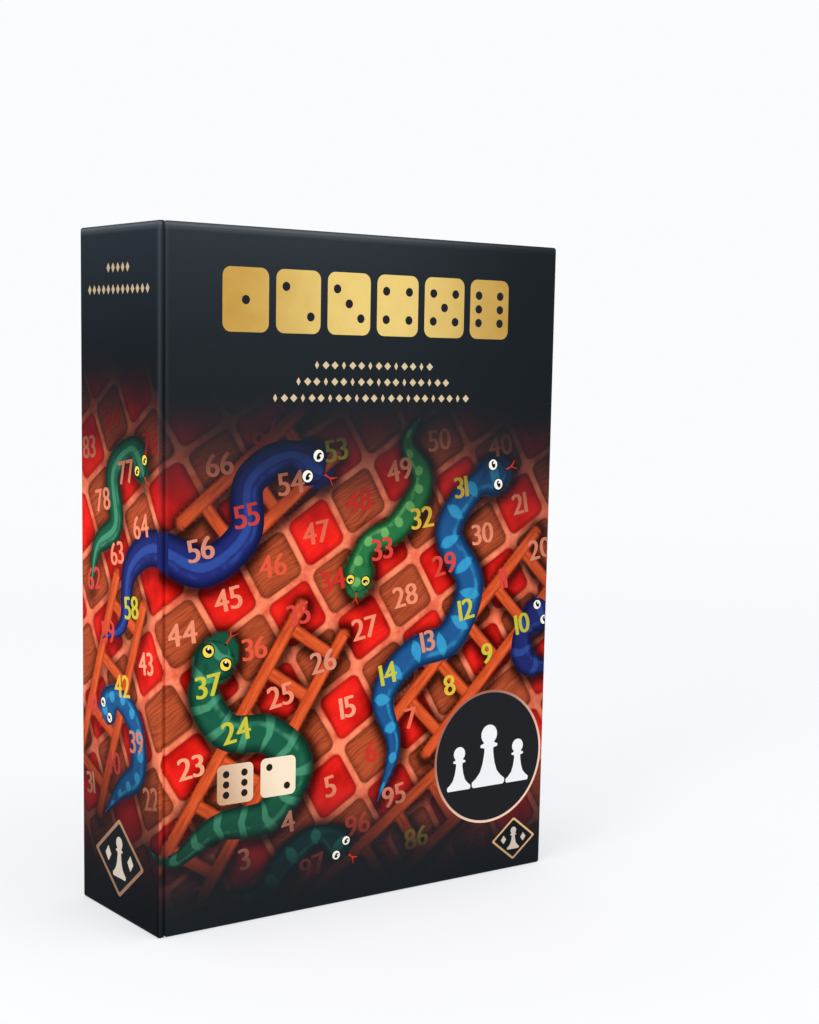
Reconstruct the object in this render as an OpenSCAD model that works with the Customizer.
// Book-style box of a snakes and ladders game, closed and standing on its lower edges.
// X runs from the spine to the fore-edge, Y from the front cover to the back cover, Z up.
// The origin is under the middle of the box. The front cover opens about the joint groove
// beside the spine, and the game inside lifts out towards -Y.

/* [Case] */
// Width over the paper, from the spine to the fore-edge
case_w = 190; // [184:1:230]
// Height, standing on the lower edges
case_h = 270; // [268:1:320]
// Depth over both covers
case_d = 65.5; // [62:0.5:90]
// Greyboard of the two covers
case_board_t = 2; // [1.5:0.1:2.6]
// Greyboard of the spine
spine_board_t = 1.4; // [1.2:0.1:2.4]
// Paper round every board
paper_t = 0.2; // [0.1:0.05:0.3]
// Overhang of the case past the tray
square = 1.5; // [1:0.1:3]
// Width of the pressed groove beside the spine
groove_w = 1.2; // [1:0.1:2.2]
// Depth of the pressed groove
groove_depth = 1.2; // [0.8:0.1:1.4]
// Paper turned in over the inner edges of a board
turn_in = 15; // [8:1:20]
// Radius of a wrapped edge
edge_r = 0.6; // [0.3:0.1:0.7]
// Radius of a wrapped corner, seen on the flat of the board
corner_r = 1.2; // [0.6:0.1:2]

/* [Tray] */
// Greyboard of the tray walls
wall_t = 1.5; // [1:0.1:2]
// Doubled greyboard of the fore-edge wall, which holds the magnets
fore_wall_t = 3; // [2.6:0.1:4]
// Greyboard of the tray floor
floor_t = 1.5; // [1:0.1:2]
// Gap between the closed cover and the rim of the tray
rim_gap = 0.3; // [0.2:0.05:0.6]

/* [Magnets] */
// Length of each bar magnet
magnet_len = 20; // [10:1:30]
// Distance between the two pairs of magnets
magnet_pitch = 150; // [60:1:200]
// Width of the magnets in the cover
cover_magnet_w = 4; // [3:0.1:5]
// Thickness of the magnets in the cover
cover_magnet_t = 1.2; // [0.8:0.1:1.3]
// Thickness of the magnets in the tray wall
wall_magnet_t = 2; // [1.2:0.1:2.2]
// Depth of the magnets in the tray wall
wall_magnet_d = 4; // [2:0.1:8]

/* [Insert] */
// Thickness of the formed sheet
sheet_t = 1; // [0.6:0.1:1.4]
// Drop of the insert's top below the rim of the tray
flange_drop = 5; // [4.6:0.1:8]
// Draft of the formed pockets, in degrees
draft = 3; // [1:0.5:5]
// Gap between the insert and the tray walls
insert_gap = 0.3; // [0.1:0.05:0.5]
// Depth of the trough for the small pieces
trough_depth = 30; // [24:0.5:32]
// Depth of the round and square sockets in the trough
socket_depth = 10; // [6:0.5:12]
// Width of the trough at its floor; the board's leaves take the rest of the tray
trough_w = 33.8; // [30:0.1:40]
// Corner radius of the trough
trough_r = 9; // [4:0.5:12]
// Corner radius of the board's recess
recess_r = 3; // [2:0.5:5]
// Land between the board's recess and the trough
land_w = 4.5; // [3:0.1:6]
// Land between the trough and the edge of the insert
edge_land = 3; // [2:0.1:5]
// Radius of the finger notch beside the board
notch_r = 14; // [9:0.5:20]

/* [Board] */
// Greyboard of a leaf
leaf_core_t = 1.6; // [1.2:0.1:2]
// Black paper turned in over the edges of a leaf
leaf_turn_in = 8; // [5:1:15]
// Bare black edge round the printed sheet
print_inset = 2; // [1:0.1:4]

/* [Rules booklet] */
// Gap from each long edge of the leaves to the booklet
booklet_side_gap = 11; // [9:0.5:20]
// Height of the booklet
booklet_h = 200; // [120:1:215]
// Thickness of its stapled leaves
booklet_t = 1; // [0.6:0.1:1.4]

/* [Pawns] */
// Height of a pawn
pawn_h = 38; // [32:0.5:39]
// Diameter of its base
pawn_base_d = 20; // [16:0.5:22]
// Diameter of its round head
pawn_head_d = 13; // [10:0.5:15]
// Diameter of its neck
pawn_neck_d = 7; // [5:0.5:8.5]
// Gap between each end of the trough and the row of evenly spaced pieces
row_end_gap = 4.7; // [0:0.1:10]

/* [Die] */
// Edge of the die
die_size = 16; // [12:0.5:18]
// Radius of the ball that hollows a pip
pip_r = 1.7; // [1.2:0.1:2]
// Depth of a pip
pip_depth = 0.7; // [0.4:0.1:1]

/* [Fits] */
// Gap between pieces that move apart
moving_gap = 0.3; // [0.2:0.05:0.5]
// Gap round the board and the booklet in the recess
recess_gap = 1.5; // [0.8:0.1:2.4]
// Gap round a pawn's base or the die in its socket
socket_gap = 0.35; // [0.2:0.05:0.6]
// Gap round a glued magnet
magnet_gap = 0.1; // [0.05:0.05:0.2]

/* [Hidden] */

// One overrun serves every cut
overrun = 1;
// Facets of small edge rounds and of larger turned forms
edge_fn = 32;
turned_fn = 96;

// Planes of the case: a cover is paper, board and paper, and the front one has a lining too
plate_t = case_board_t + 2 * paper_t;
spine_plate_t = spine_board_t + 2 * paper_t;
left_x = -case_w / 2;
right_x = case_w / 2;
front_y = -case_d / 2;
back_y = case_d / 2;
spine_in_x = left_x + spine_plate_t;
cover_x = spine_in_x + groove_w;
cover_in_y = front_y + plate_t + paper_t;
back_in_y = back_y - plate_t;
liner_inset = 4;
hinge_paper_t = 2 * paper_t;
groove_y = front_y + groove_depth;

// Line about which the joint paper bends, just proud of the front face
hinge_x = spine_in_x + groove_w / 2;
hinge_proud = 0.15;
hinge_y = front_y - hinge_proud;

// Planes of the tray
tray_front_y = cover_in_y + rim_gap;
tray_back_y = back_in_y;
tray_floor_y = tray_back_y - floor_t;
tray_x = [spine_in_x, right_x - square];
tray_z = [square, case_h - square];
side_t = wall_t + 2 * paper_t;
fore_side_t = fore_wall_t + 2 * paper_t;
inner_x = [tray_x[0] + side_t, tray_x[1] - fore_side_t];
inner_z = [tray_z[0] + side_t, tray_z[1] - side_t];
fore_wall_x = tray_x[1] - paper_t - fore_wall_t / 2;

// Planes of the folded board, upper leaf first, then the booklet under it
leaf_t = leaf_core_t + 3 * paper_t;
board_drop = 0.7;
fold_offset = 8;
flange_y = tray_front_y + flange_drop;
upper_leaf_y = flange_y + board_drop;
fold_x = hinge_x + fold_offset;
fold_y = upper_leaf_y + leaf_t + moving_gap / 2;
lower_leaf_y = upper_leaf_y + leaf_t + moving_gap;
leaf_x = fold_x + moving_gap;
booklet_y = lower_leaf_y + leaf_t + moving_gap;
recess_floor_y = booklet_y + booklet_t + moving_gap;
recess_depth = recess_floor_y - flange_y;

// Outline of the insert and of its pockets at their floors
insert_x = [inner_x[0] + insert_gap, inner_x[1] - insert_gap];
insert_z = [inner_z[0] + insert_gap, inner_z[1] - insert_gap];
middle_z = case_h / 2;
recess_flare = recess_depth * tan(draft);
trough_flare = trough_depth * tan(draft);
trough_end_land = 10;
trough_mouth_x = [insert_x[1] - edge_land - trough_w - 2 * trough_flare, insert_x[1] - edge_land];
trough_h = insert_z[1] - insert_z[0] - 2 * trough_end_land - 2 * trough_flare;

// The recess takes what the trough leaves, and the leaves of the board fill the recess
recess_edge_x = trough_mouth_x[0] - land_w - recess_flare;
leaf_w = recess_edge_x - recess_gap - leaf_x;
recess_w = leaf_w + 2 * recess_gap;
recess_h = insert_z[1] - insert_z[0] - 2 * edge_land - 2 * recess_flare;
leaf_h = recess_h - moving_gap - recess_gap;
recess_mid_x = leaf_x + leaf_w / 2;
leaf_z = middle_z - recess_h / 2 + moving_gap;
trough_mid_x = (trough_mouth_x[0] + trough_mouth_x[1]) / 2;
trough_floor_y = flange_y + trough_depth;
die_socket_depth = 6;
die_socket_r = 1.5;
insert_corner_r = 2;
notch_x = trough_mouth_x[0] - land_w / 2;

// Places of the loose pieces along the trough: the die first, then the four pawns
piece_count = 5;
piece_pitch = (trough_h - 2 * row_end_gap) / piece_count;
function piece_z(i) = middle_z + (i - (piece_count - 1) / 2) * piece_pitch;
pawn_base_y = trough_floor_y + socket_depth - moving_gap;
die_back_y = trough_floor_y + die_socket_depth - moving_gap;

// Shares of a pawn's turned outline
base_bead_share = 0.075;
foot_share = 0.2;
ledge_share = 0.05;
waist_share = 0.62;
collar_share = 0.66;
collar_width_share = 0.78;
// Rounding ball of the die and the places of its pips, as shares of its edge
die_ball_share = 0.715;
pip_share = 0.25;

// A board's block between two corners
module block(low, high) {
    translate(low) cube(high - low);
}

// Rectangle with round corners, its lower left corner at the origin
module round_rect(w, h, r) {
    translate([r, 0]) square([w - 2 * r, h]);
    translate([0, r]) square([w, h - 2 * r]);
    for (x = [r, w - r], y = [r, h - r])
        translate([x, y]) circle(r = r, $fn = edge_fn);
}

// Plate of width w, thickness t and height h whose edges are rounded on every side
module soft_plate(w, t, h, r = edge_r, corner = corner_r) {
    intersection() {
        linear_extrude(h) round_rect(w, t, r);
        rotate([90, 0, 90]) linear_extrude(w) round_rect(t, h, r);
        translate([0, t, 0]) rotate([90, 0, 0]) linear_extrude(t) round_rect(w, h, corner);
    }
}

// Board under the paper of a soft plate of width w and height h; its corners follow the paper's
module core_board(w, t, h) {
    translate([paper_t, paper_t + t, paper_t]) rotate([90, 0, 0])
        linear_extrude(t) round_rect(w - 2 * paper_t, h - 2 * paper_t, corner_r - paper_t);
}

// Prism along Y, from y = low to y = high, over a round-cornered rectangle centred on x, z
module y_prism(x, z, w, h, low, high, r) {
    translate([x - w / 2, high, z - h / 2])
        rotate([90, 0, 0]) linear_extrude(high - low) round_rect(w, h, r);
}

// Drafted pocket that widens from its floor at y = floor towards -Y over the given depth
module tub(x, z, w, h, floor, depth, r) {
    flare = 2 * depth * tan(draft);
    translate([x, floor, z]) rotate([90, 0, 0])
        linear_extrude(depth, scale = [(w + flare) / w, (h + flare) / h])
            translate([-w / 2, -h / 2]) round_rect(w, h, r);
}

// Sheet that lies on the turned-in paper and fills the field between the turn-ins;
// side is -1 where the sheet's outer face looks to -Y, 1 where it looks to +Y
module lining(w, h, y, inset, border, side) {
    sheet_y = side < 0 ? y - paper_t : y;
    pad_y = side < 0 ? y : y - paper_t;
    block([inset, sheet_y, inset], [w - inset, sheet_y + paper_t, h - inset]);
    block([border, pad_y, border], [w - border, pad_y + paper_t, h - border]);
}

// Paper round a board of thickness core_t: one face, four edges and the turn-ins.
// side is the face the turn-ins lie on
module wrapped_paper(w, h, core_t, border, side) {
    t = core_t + 2 * paper_t;
    open_y = side < 0 ? -overrun : paper_t + core_t / 2;
    difference() {
        soft_plate(w, t, h);
        core_board(w, core_t, h);
        block([border, open_y, border], [w - border, open_y + t / 2 + overrun, h - border]);
    }
}

// Front cover
cover_w = right_x - cover_x;

module magnet_bars(x, y, w, t, gap = 0) {
    for (side = [-1, 1])
        translate([x, y, middle_z + side * magnet_pitch / 2])
            block([-w / 2 - gap, 0, -magnet_len / 2 - gap], [w / 2 + gap, t, magnet_len / 2 + gap]);
}

module cover_board() {
    inner_y = front_y + paper_t + case_board_t;
    color("tan") difference() {
        translate([cover_x, front_y, 0]) core_board(cover_w, case_board_t, case_h);
        magnet_bars(fore_wall_x, inner_y - cover_magnet_t, cover_magnet_w,
                    cover_magnet_t + overrun, magnet_gap);
    }
}

module cover_wrap() {
    color([0.11, 0.12, 0.14]) translate([cover_x, front_y, 0])
        wrapped_paper(cover_w, case_h, case_board_t, turn_in, 1);
}

module cover_liner() {
    color([0.08, 0.08, 0.09]) translate([cover_x, front_y, 0])
        lining(cover_w, case_h, plate_t, liner_inset, turn_in, 1);
}

module cover_magnets() {
    color("silver")
        magnet_bars(fore_wall_x, front_y + paper_t + case_board_t - cover_magnet_t,
                    cover_magnet_w, cover_magnet_t);
}

// Paper of the joint, pressed into the groove between the spine and the cover
module hinge_paper() {
    color([0.09, 0.1, 0.12])
        block([spine_in_x, groove_y, 0], [cover_x - moving_gap, groove_y + hinge_paper_t, case_h]);
}

// Spine, back and the sheet that wraps them both
module at_spine() {
    translate([left_x, back_y, 0]) rotate([0, 0, -90]) children();
}

module spine_board() {
    color("tan") at_spine() core_board(case_d, spine_board_t, case_h);
}

module back_board() {
    color("tan") translate([cover_x, back_in_y, 0]) core_board(cover_w, case_board_t, case_h);
}

module case_wrap() {
    groove_back_y = back_y - groove_depth;
    color([0.11, 0.12, 0.14]) {
        difference() {
            at_spine() soft_plate(case_d, spine_plate_t, case_h);
            at_spine() core_board(case_d, spine_board_t, case_h);
            block([spine_in_x - paper_t - overrun, groove_y + hinge_paper_t, turn_in],
                  [spine_in_x + overrun, groove_back_y - hinge_paper_t, case_h - turn_in]);
        }
        translate([cover_x, back_in_y, 0])
            wrapped_paper(cover_w, case_h, case_board_t, turn_in, -1);
        block([spine_in_x - paper_t, groove_back_y - hinge_paper_t, 0],
              [cover_x + paper_t, groove_back_y, case_h]);
    }
}

// Tray
module tray_floor() {
    color("tan")
        block([inner_x[0] - paper_t, tray_floor_y, inner_z[0] - paper_t],
              [inner_x[1] + paper_t, tray_back_y, inner_z[1] + paper_t]);
}

module end_wall(low_z) {
    color("tan")
        block([tray_x[0] + paper_t, tray_front_y + paper_t, low_z],
              [tray_x[1] - paper_t, tray_back_y, low_z + wall_t]);
}

module tray_wall_top() {
    end_wall(tray_z[1] - paper_t - wall_t);
}

module tray_wall_bottom() {
    end_wall(tray_z[0] + paper_t);
}

module side_wall(low_x, t) {
    block([low_x, tray_front_y + paper_t, inner_z[0] - paper_t],
          [low_x + t, tray_back_y, inner_z[1] + paper_t]);
}

module tray_wall_spine_side() {
    color("tan") side_wall(tray_x[0] + paper_t, wall_t);
}

module tray_wall_fore_edge() {
    color("tan") difference() {
        side_wall(fore_wall_x - fore_wall_t / 2, fore_wall_t);
        magnet_bars(fore_wall_x, tray_front_y + paper_t - overrun, wall_magnet_t,
                    wall_magnet_d + overrun, magnet_gap);
    }
}

module tray_magnets() {
    color("silver")
        magnet_bars(fore_wall_x, tray_front_y + paper_t, wall_magnet_t, wall_magnet_d);
}

// Ring of the tray's outline, from an outer inset to an inner inset of every wall
module tray_ring(low_y, high_y, outer_inset, inner_outset) {
    difference() {
        block([tray_x[0] + outer_inset, low_y, tray_z[0] + outer_inset],
              [tray_x[1] - outer_inset, high_y, tray_z[1] - outer_inset]);
        block([inner_x[0] - inner_outset, low_y - overrun, inner_z[0] - inner_outset],
              [inner_x[1] + inner_outset, high_y + overrun, inner_z[1] + inner_outset]);
    }
}

module tray_wrap() {
    color([0.07, 0.07, 0.08]) difference() {
        tray_ring(tray_front_y, tray_back_y, 0, 0);
        tray_ring(tray_front_y + paper_t, tray_back_y + overrun, paper_t, paper_t);
        block([inner_x[0] - paper_t, tray_floor_y, inner_z[0] - paper_t],
              [inner_x[1] + paper_t, tray_back_y + overrun, inner_z[1] + paper_t]);
    }
}

// Formed insert: a flange, its skirt, the board's recess, the trough and the sockets
module insert_outside() {
    w = insert_x[1] - insert_x[0];
    h = insert_z[1] - insert_z[0];
    x = (insert_x[0] + insert_x[1]) / 2;
    y_prism(x, middle_z, w, h, flange_y, flange_y + sheet_t, insert_corner_r);
    difference() {
        y_prism(x, middle_z, w, h, flange_y, tray_floor_y, insert_corner_r);
        y_prism(x, middle_z, w - 2 * sheet_t, h - 2 * sheet_t, flange_y - overrun,
                tray_floor_y + overrun, insert_corner_r - sheet_t / 2);
    }
    tub(recess_mid_x, middle_z, recess_w + 2 * sheet_t, recess_h + 2 * sheet_t,
        recess_floor_y + sheet_t, recess_depth + sheet_t, recess_r + sheet_t);
    tub(trough_mid_x, middle_z, trough_w + 2 * sheet_t, trough_h + 2 * sheet_t,
        trough_floor_y + sheet_t, trough_depth + sheet_t, trough_r + sheet_t);
    insert_sockets(sheet_t);
}

// Sockets and finger notch, grown by the wall's thickness for their outside
module insert_sockets(wall) {
    reach = wall > 0 ? 0 : overrun;
    socket_r = pawn_base_d / 2 + socket_gap + wall;
    die_socket = die_size + 2 * socket_gap + 2 * wall;
    for (i = [1 : piece_count - 1])
        translate([trough_mid_x, trough_floor_y + socket_depth + wall, piece_z(i)])
            rotate([90, 0, 0])
                cylinder(r = socket_r, h = socket_depth + wall + reach, $fn = turned_fn);
    y_prism(trough_mid_x, piece_z(0), die_socket, die_socket, trough_floor_y - reach,
            trough_floor_y + die_socket_depth + wall, die_socket_r + wall);
    translate([notch_x, recess_floor_y + wall, middle_z]) rotate([90, 0, 0])
        cylinder(r = notch_r + wall, h = recess_depth + wall + reach, $fn = turned_fn);
}

module insert() {
    color([0.1, 0.1, 0.11]) difference() {
        insert_outside();
        tub(recess_mid_x, middle_z, recess_w, recess_h, recess_floor_y,
            recess_depth + overrun, recess_r);
        tub(trough_mid_x, middle_z, trough_w, trough_h, trough_floor_y,
            trough_depth + overrun, trough_r);
        insert_sockets(0);
    }
}

// Rules booklet, folded at its left edge and stapled through the fold
booklet_w = leaf_w - 2 * booklet_side_gap;
booklet_x = recess_mid_x - booklet_w / 2;
staple_d = 0.5;
staple_len = 12;
staple_pitch = 100;

module rules_booklet() {
    color([0.86, 0.8, 0.7]) difference() {
        translate([booklet_x, booklet_y, leaf_z]) linear_extrude(booklet_h) {
            translate([booklet_t / 2, booklet_t / 2]) circle(d = booklet_t, $fn = edge_fn);
            translate([booklet_t / 2, 0]) square([booklet_w - booklet_t / 2, booklet_t]);
        }
        staple_wires(magnet_gap);
    }
}

module staple_wires(gap = 0) {
    for (side = [-1, 1])
        translate([booklet_x, booklet_y + booklet_t / 2,
                   leaf_z + booklet_h / 2 + side * staple_pitch / 2 - staple_len / 2 - gap])
            cylinder(d = staple_d + 2 * gap, h = staple_len + 2 * gap, $fn = edge_fn);
}

module booklet_staples() {
    color("silver") staple_wires();
}

// Leaves of the folding board; at rest the printed faces look at each other
module leaf_board(y) {
    color("tan") translate([leaf_x, y, leaf_z]) core_board(leaf_w, leaf_core_t, leaf_h);
}

module leaf_wrap(y, side) {
    color([0.07, 0.07, 0.08]) translate([leaf_x, y, leaf_z])
        wrapped_paper(leaf_w, leaf_h, leaf_core_t, leaf_turn_in, side);
}

module leaf_print(y, side) {
    face_y = side < 0 ? 0 : leaf_t - paper_t;
    color([0.8, 0.25, 0.12]) translate([leaf_x, y, leaf_z])
        lining(leaf_w, leaf_h, face_y, print_inset, leaf_turn_in, side);
}

module lower_leaf_board() {
    leaf_board(lower_leaf_y + paper_t);
}

module lower_leaf_wrap() {
    leaf_wrap(lower_leaf_y + paper_t, -1);
}

module lower_leaf_print() {
    leaf_print(lower_leaf_y + paper_t, -1);
}

module upper_leaf_board() {
    leaf_board(upper_leaf_y);
}

module upper_leaf_wrap() {
    leaf_wrap(upper_leaf_y, 1);
}

module upper_leaf_print() {
    leaf_print(upper_leaf_y, 1);
}

// Turned pawn: a beaded base, a foot, a hollow-sided body, a collar and a round head
module pawn_profile() {
    base_r = pawn_base_d / 2;
    neck_r = pawn_neck_d / 2;
    bead_r = pawn_h * base_bead_share;
    foot_z = pawn_h * foot_share;
    foot_r = base_r * collar_width_share;
    waist_z = pawn_h * waist_share;
    collar_z = pawn_h * collar_share;
    collar_r = neck_r + bead_r / 2;
    head_r = pawn_head_d / 2;
    // The hollow side is an arc from a small ledge on the foot up to the waist
    rise = waist_z - foot_z;
    run = foot_r - base_r * ledge_share - neck_r;
    cove_r = (rise * rise + run * run) / (2 * run);
    square([base_r - bead_r, 2 * bead_r]);
    translate([base_r - bead_r, bead_r]) circle(r = bead_r, $fn = edge_fn);
    square([foot_r, foot_z]);
    difference() {
        translate([0, foot_z]) square([foot_r, rise]);
        translate([neck_r + cove_r, waist_z]) circle(r = cove_r, $fn = turned_fn);
    }
    translate([0, waist_z]) square([neck_r, pawn_h - head_r - waist_z]);
    translate([0, collar_z - bead_r / 2]) square([collar_r, bead_r]);
    translate([collar_r, collar_z]) circle(r = bead_r / 2, $fn = edge_fn);
    intersection() {
        translate([0, pawn_h - head_r]) circle(r = head_r, $fn = turned_fn);
        translate([0, collar_z]) square([head_r + overrun, pawn_h]);
    }
}

module pawn(i, shade) {
    color(shade) translate([trough_mid_x, pawn_base_y, piece_z(i)]) rotate([90, 0, 0])
        rotate_extrude($fn = turned_fn) pawn_profile();
}

module pawn_red() {
    pawn(1, [0.75, 0.12, 0.08]);
}

module pawn_blue() {
    pawn(2, [0.1, 0.3, 0.6]);
}

module pawn_green() {
    pawn(3, [0.12, 0.45, 0.22]);
}

module pawn_yellow() {
    pawn(4, [0.9, 0.65, 0.12]);
}

// Die with hollowed pips; opposite faces add up to seven
function pips(n) = concat(
    n % 2 == 1 ? [[0, 0]] : [],
    n > 1 ? [[-1, -1], [1, 1]] : [],
    n > 3 ? [[-1, 1], [1, -1]] : [],
    n > 5 ? [[-1, 0], [1, 0]] : []);
die_faces = [
    [1, [0, 0, 0]], [6, [180, 0, 0]], [2, [90, 0, 0]],
    [5, [-90, 0, 0]], [3, [0, 90, 0]], [4, [0, -90, 0]]
];

module die() {
    color([0.82, 0.66, 0.44])
        translate([trough_mid_x, die_back_y - die_size / 2, piece_z(0)])
            rotate([90, 0, 0]) difference() {
                intersection() {
                    cube(die_size, center = true);
                    sphere(r = die_size * die_ball_share, $fn = turned_fn);
                }
                for (face = die_faces, spot = pips(face[0]))
                    rotate(face[1])
                        translate([spot[0] * die_size * pip_share, spot[1] * die_size * pip_share,
                                   die_size / 2 + pip_r - pip_depth])
                            sphere(r = pip_r, $fn = edge_fn);
            }
}

cover_board();
cover_wrap();
cover_liner();
cover_magnets();
hinge_paper();
spine_board();
back_board();
case_wrap();
tray_floor();
tray_wall_top();
tray_wall_bottom();
tray_wall_spine_side();
tray_wall_fore_edge();
tray_magnets();
tray_wrap();
insert();
rules_booklet();
booklet_staples();
lower_leaf_board();
lower_leaf_wrap();
lower_leaf_print();
upper_leaf_board();
upper_leaf_wrap();
upper_leaf_print();
pawn_red();
pawn_blue();
pawn_green();
pawn_yellow();
die();
